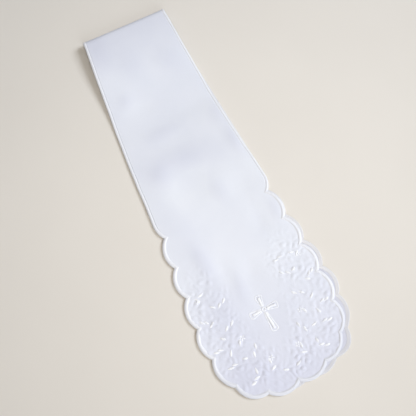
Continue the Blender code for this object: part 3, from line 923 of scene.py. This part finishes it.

# %% [markdown]
# ## The finish of each thread
#
# White on white is all in the light, so colour varies little and the surface does the work.
# The cloth is a close satin weave with a cool white and a soft sheen. Its threads are two
# crossed waves on the pattern's own map, so they follow the cloth round the fold. Shade is
# painted into the cloth's colour: it is darker at the roll, towards the tip and on the lower
# half, darker where the swells stand up and paler in their dents. The edging and the embroidery
# are smoother thread, so they catch the light more. The edging is painted a little darker round
# the tip and on the lower half.

# %% Material helpers
def new_material(name, roughness, sheen):
    """A Principled material, with its node tree and the shader."""
    material = bpy.data.materials.new(name)
    material.use_nodes = True
    shader = material.node_tree.nodes["Principled BSDF"]
    shader.inputs["Roughness"].default_value = roughness
    shader.inputs["Sheen Weight"].default_value = sheen
    shader.inputs["Sheen Roughness"].default_value = 0.45
    return material, material.node_tree, shader


def mapped(tree, output, scale=(1.0, 1.0, 1.0)):
    """Coordinates from one output of Texture Coordinate, scaled."""
    source = tree.nodes.new("ShaderNodeTexCoord")
    mapping = tree.nodes.new("ShaderNodeMapping")
    mapping.inputs["Scale"].default_value = scale
    tree.links.new(source.outputs[output], mapping.inputs["Vector"])
    return mapping.outputs["Vector"]


def axis(tree, vector, name):
    """One of a vector's three numbers."""
    parts = tree.nodes.new("ShaderNodeSeparateXYZ")
    tree.links.new(vector, parts.inputs["Vector"])
    return parts.outputs[name]


def noise(tree, vector, scale, detail=3.0):
    """A noise value at a scale."""
    node = tree.nodes.new("ShaderNodeTexNoise")
    node.inputs["Scale"].default_value = scale
    node.inputs["Detail"].default_value = detail
    tree.links.new(vector, node.inputs["Vector"])
    return node.outputs["Fac"]


def between(tree, factor, low, high, start=0.35, end=0.65):
    """A colour between two, by a factor."""
    ramp = tree.nodes.new("ShaderNodeValToRGB")
    ramp.color_ramp.elements[0].position = start
    ramp.color_ramp.elements[1].position = end
    ramp.color_ramp.elements[0].color = (*low, 1.0)
    ramp.color_ramp.elements[1].color = (*high, 1.0)
    tree.links.new(factor, ramp.inputs["Fac"])
    return ramp.outputs["Color"]


def wave(tree, vector, direction, scale, distortion=0.0):
    """Bands across one direction; scale 1 gives a band about every third of a unit."""
    node = tree.nodes.new("ShaderNodeTexWave")
    node.bands_direction = direction
    node.inputs["Scale"].default_value = scale
    node.inputs["Distortion"].default_value = distortion
    tree.links.new(vector, node.inputs["Vector"])
    return node.outputs["Fac"]


def bumped(tree, height, distance, strength, normal=None):
    """A bump node, on top of another one if given."""
    node = tree.nodes.new("ShaderNodeBump")
    node.inputs["Distance"].default_value = distance
    node.inputs["Strength"].default_value = strength
    tree.links.new(height, node.inputs["Height"])
    if normal is not None:
        tree.links.new(normal, node.inputs["Normal"])
    return node.outputs["Normal"]


# %% How white the cloth is painted, with painted shade
PAINTED_SHADE_TONES = (
    # run along the pattern (mm, below 0 on the lower half), how white the cloth is painted there:
    # painted shade, darker at the roll, towards the tip and on the lower half
    (-372.0, 0.81), (-215.0, 0.83), (-120.0, 0.91), (-30.0, 0.92), (-6.0, 0.99), (2.0, 0.905),
    (16.0, 0.912), (50.0, 0.965), (90.0, 0.960), (150.0, 0.966), (185.0, 0.995), (230.0, 0.975),
    (258.0, 0.975), (300.0, 0.925), (340.0, 0.875), (372.0, 0.825),
)
# the colour of the painted shade: red, green and blue follow the whiteness to these powers
PAINTED_SHADE_POWERS = (1.0, 1.06, 0.70)
# swell height (mm) at which the painted shade of the swells is full
FULL_SWELL_SHADE_AT = 0.9
# below these heights the lower half's cloth and edging are painted darker: painted shade
LOWER_CLOTH_TOP = 1.07 * MM
LOWER_EDGING_TOP = 1.70 * MM


def lengthwise(tree, coordinate, stops):
    """A ramp of painted shade along the pattern: red, green and blue are the whiteness, each to
    its own power.
    """
    ramp = tree.nodes.new("ShaderNodeValToRGB")
    bar = ramp.color_ramp
    for _ in range(len(stops) - 2):
        bar.elements.new(0.5)
    for stop, (run, white) in zip(bar.elements, stops):
        stop.position = run * MM / UV_SPAN + 0.5
        stop.color = (*(white ** power for power in PAINTED_SHADE_POWERS), 1.0)
    tree.links.new(axis(tree, coordinate, "Y"), ramp.inputs["Fac"])
    return ramp.outputs["Color"]


def times(tree, first, second):
    """Two colours multiplied."""
    mix = tree.nodes.new("ShaderNodeMix")
    mix.data_type = "RGBA"
    mix.blend_type = "MULTIPLY"
    mix.inputs["Factor"].default_value = 1.0
    tree.links.new(first, mix.inputs["A"])
    tree.links.new(second, mix.inputs["B"])
    return mix.outputs["Result"]


def shade_below(tree, top, shade_colour):
    """A colour to multiply by, for painted shade: darker below the height top, which is scaled to
    0.5 on the ramp.
    """
    height = axis(tree, mapped(tree, "Object", (1.0, 1.0, 0.5 / top)), "Z")
    return between(tree, height, shade_colour, (1.0, 1.0, 1.0), 0.45, 0.55)


# %% The cloth's finish
# how close the threads and the thicker places in them are, on a map in metres
WARP, WEFT, SLUB = 900.0, 620.0, 420.0
cloth_finish, tree, shader = new_material("white_satin_weave", 0.62, 0.25)
pattern = mapped(tree, "UV", (UV_SPAN, UV_SPAN, 1.0))
tint = noise(tree, pattern, 26.0)
white = between(tree, tint, (0.743, 0.771, 0.854), (0.770, 0.797, 0.874))
# painted shade along the run: darker at the roll, towards the tip and on the lower half
painted_shade_tone = lengthwise(tree, mapped(tree, "UV"), PAINTED_SHADE_TONES)
# painted shade of the swells: the cloth is painted darker where they stand up and paler in their
# dents
parted = tree.nodes.new("ShaderNodeAttribute")
parted.attribute_name = "swell_shade_heights"
painted_swell_shade = between(tree, parted.outputs["Fac"], (1.045, 1.045, 1.03), (0.945, 0.945, 0.965),
                 0.0, FULL_SWELL_SHADE_AT)
white = times(tree, times(tree, white, painted_swell_shade), painted_shade_tone)
# painted shade on the lower half, where it shows beside the upper half
below = shade_below(tree, LOWER_CLOTH_TOP, (0.95, 0.945, 0.92))
tree.links.new(times(tree, white, below), shader.inputs["Base Color"])
warp = wave(tree, pattern, "X", WARP, 0.6)
weft = wave(tree, pattern, "Y", WEFT, 0.6)
normal = bumped(tree, warp, 0.05 * MM, 0.25)
normal = bumped(tree, weft, 0.05 * MM, 0.20, normal)
slub = noise(tree, pattern, SLUB, 4.0)
tree.links.new(bumped(tree, slub, 0.10 * MM, 0.25, normal), shader.inputs["Normal"])
print(cloth_finish.name, "nodes:", len(tree.nodes))

# %% The edging's finish
# painted shade: round the tip the edging is painted a little darker; where along -Y that starts,
# and where it is full
TIP_SHADE = (128.0 * MM, 162.0 * MM)
THREADS = 1100.0
edging_finish, tree, shader = new_material("satin_edging_thread", 0.42, 0.15)
ring_map = mapped(tree, "UV", (RING_SPAN, 1.0 / ROUND_SPAN, 1.0))
tint = noise(tree, ring_map, 180.0)
bright = between(tree, tint, (0.790, 0.806, 0.868), (0.822, 0.836, 0.890))
towards_tip = axis(tree, mapped(tree, "Object", (1.0, -1.0, 1.0)), "Y")
tip_shade = between(tree, towards_tip, (1.0, 1.0, 1.0), (0.88, 0.885, 0.905), *TIP_SHADE)
bright = times(tree, bright, tip_shade)
# painted shade on the lower half's edging, beside the upper half's edging
below = shade_below(tree, LOWER_EDGING_TOP, (0.92, 0.905, 0.885))
tree.links.new(times(tree, bright, below), shader.inputs["Base Color"])
threads = wave(tree, ring_map, "X", THREADS, 0.4)
tree.links.new(bumped(tree, threads, 0.05 * MM, 0.35), shader.inputs["Normal"])
print(edging_finish.name, "nodes:", len(tree.nodes))

# %% The embroidery's finish
thread_finish, tree, shader = new_material("satin_embroidery_thread", 0.36, 0.15)
place = mapped(tree, "Object")
tint = noise(tree, place, 260.0)
bright = between(tree, tint, (0.825, 0.843, 0.895), (0.868, 0.884, 0.928))
tree.links.new(bright, shader.inputs["Base Color"])
strands = noise(tree, place, 2600.0, 2.0)
tree.links.new(bumped(tree, strands, 0.06 * MM, 0.30), shader.inputs["Normal"])
print(thread_finish.name, "nodes:", len(tree.nodes))

# %% Every piece given its finish and hung on the root, with its CAD node hidden
FINISHES = (
    # piece, finish, slot, the node it stands for
    (cloth, cloth_finish, "white_cloth", "cloth"),
    (edging, edging_finish, "edging_thread", "edging"),
    (cross, thread_finish, "embroidery_thread", "cross"),
    (sprays[0], thread_finish, "embroidery_thread", "spray_right"),
    (sprays[1], thread_finish, "embroidery_thread", "spray_left"),
)
for piece, finish, slot, node in FINISHES:
    piece.data.materials.append(finish)
    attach(piece, "root")
    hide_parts(node)
print("pieces finished:", len(FINISHES))

# %% [markdown]
# ## The cut
#
# Cloth does not stretch, so the strip keeps the size that it was cut to. The strip is one piece
# from tab to tab, about six times as long as it is wide, and its area is less than that
# rectangle's because it narrows at the neck and its tabs are rounded.

# %% The outline of the cut, one half edge
outline = np.vstack([points for points, _ in stretches(MM, MM)])

# %% [markdown]
# ## Floor, light and camera
#
# The stole lies on a plain pale surface with a painted pool of light on it: its colour is painted
# darker away from the brightest place. Three soft lights share the work. The key stands on the
# right and gives the edging its bright and its dark side. The front one is wide and stands low
# beyond the tabs, so the roll throws its shadow behind the fold. The overhead one is small, near
# and a little to the left, which keeps the shadow along the left side narrow and soft. The pale
# surroundings fill what is left. The camera looks down, a little short of straight, with its top
# edge turned so that the stole lies from corner to corner.

# %% The floor
FLOOR_HALF = 3.0
# painted light on the floor: the middle of its pool, and the squared distance from it (square
# metres) where the painted falloff is darkest
LIGHT_POOL_MIDDLE = (0.18, 0.09, 0.0)
LIGHT_POOL_REACH = 0.24
corner = FLOOR_HALF * np.array(((-1.0, -1.0, 0.0), (1.0, -1.0, 0.0), (1.0, 1.0, 0.0),
                                (-1.0, 1.0, 0.0)))
floor_mesh = bpy.data.meshes.new("floor")
floor_mesh.from_pydata(corner, [], [(0, 1, 2, 3)])
floor = placed("floor", floor_mesh)
floor_finish, tree, shader = new_material("pale_floor", 0.85, 0.0)
place = mapped(tree, "Object")
speck = noise(tree, place, 9.0)
pale = between(tree, speck, (0.785, 0.747, 0.693), (0.800, 0.762, 0.708))
outward = tree.nodes.new("ShaderNodeVectorMath")
outward.operation = "SUBTRACT"
outward.inputs[1].default_value = LIGHT_POOL_MIDDLE
tree.links.new(place, outward.inputs[0])
square = tree.nodes.new("ShaderNodeVectorMath")
square.operation = "DOT_PRODUCT"
tree.links.new(outward.outputs["Vector"], square.inputs[0])
tree.links.new(outward.outputs["Vector"], square.inputs[1])
# painted pool of light: the floor's colour darkens away from its middle
painted_light_pool = between(tree, square.outputs["Value"], (1.0, 1.0, 1.0), (0.80, 0.80, 0.80),
                0.0, LIGHT_POOL_REACH)
tree.links.new(times(tree, pale, painted_light_pool), shader.inputs["Base Color"])
floor_mesh.materials.append(floor_finish)
print("floor, m:", 2.0 * FLOOR_HALF, "nodes:", len(tree.nodes))

# %% The lights
LIGHTS = (
    # name, direction it comes from, distance, side length, watts, colour
    ("key", (0.98, -0.16, 1.00), 4.00, 1.80, 104.0, (0.92, 0.975, 1.06)),
    ("front", (0.00, -0.97, 0.50), 4.00, 2.40, 44.0, (0.91, 0.985, 1.06)),
    ("overhead", (-0.08, -0.19, 0.66), 0.684, 0.26, 1.58, (1.09, 0.995, 0.875)),
)
for name, direction, distance, breadth, watts, colour in LIGHTS:
    light = bpy.data.lights.new(name, "AREA")
    light.shape = "SQUARE"
    light.size = breadth
    light.energy = watts
    light.color = colour
    lamp = placed(name, light)
    way = Vector(direction).normalized()
    lamp.location = way * distance
    lamp.rotation_euler = way.to_track_quat("Z", "Y").to_euler()
print("lights:", len(LIGHTS))

# %% The surroundings
world = bpy.data.worlds.new("pale surroundings")
world.use_nodes = True
surroundings = world.node_tree.nodes["Background"]
surroundings.inputs["Color"].default_value = (1.05, 1.0, 0.91, 1.0)
surroundings.inputs["Strength"].default_value = 0.180
bpy.context.scene.world = world
bpy.context.scene.view_settings.view_transform = "Standard"

# %% The camera
# the place on the pattern that it looks at, how far away it is, and its tilt and turn
VIEW_RUN, VIEW_ACROSS = 203.0 * MM, -4.2 * MM
VIEW_DISTANCE = 519.9 * MM
VIEW_TILT = math.radians(15.8)
VIEW_TURN = math.radians(25.6)
SENSOR = 36.0
FOCAL_PIXELS, PICTURE_PIXELS = 567.8, 416.0
target = PLACE + (VIEW_ACROSS, -VIEW_RUN, 0.0)
ahead = np.array((math.sin(VIEW_TURN), math.cos(VIEW_TURN), 0.0))
eye = target - ahead * VIEW_DISTANCE * math.sin(VIEW_TILT)
eye = eye + np.array((0.0, 0.0, VIEW_DISTANCE * math.cos(VIEW_TILT)))
camera_data = bpy.data.cameras.new("camera")
camera_data.sensor_width = SENSOR
camera_data.lens = FOCAL_PIXELS / PICTURE_PIXELS * SENSOR
camera = placed("camera", camera_data)
camera.location = eye
camera.rotation_euler = Vector(target - eye).to_track_quat("-Z", "Y").to_euler()
bpy.context.scene.camera = camera
print("camera at", eye.round(3))
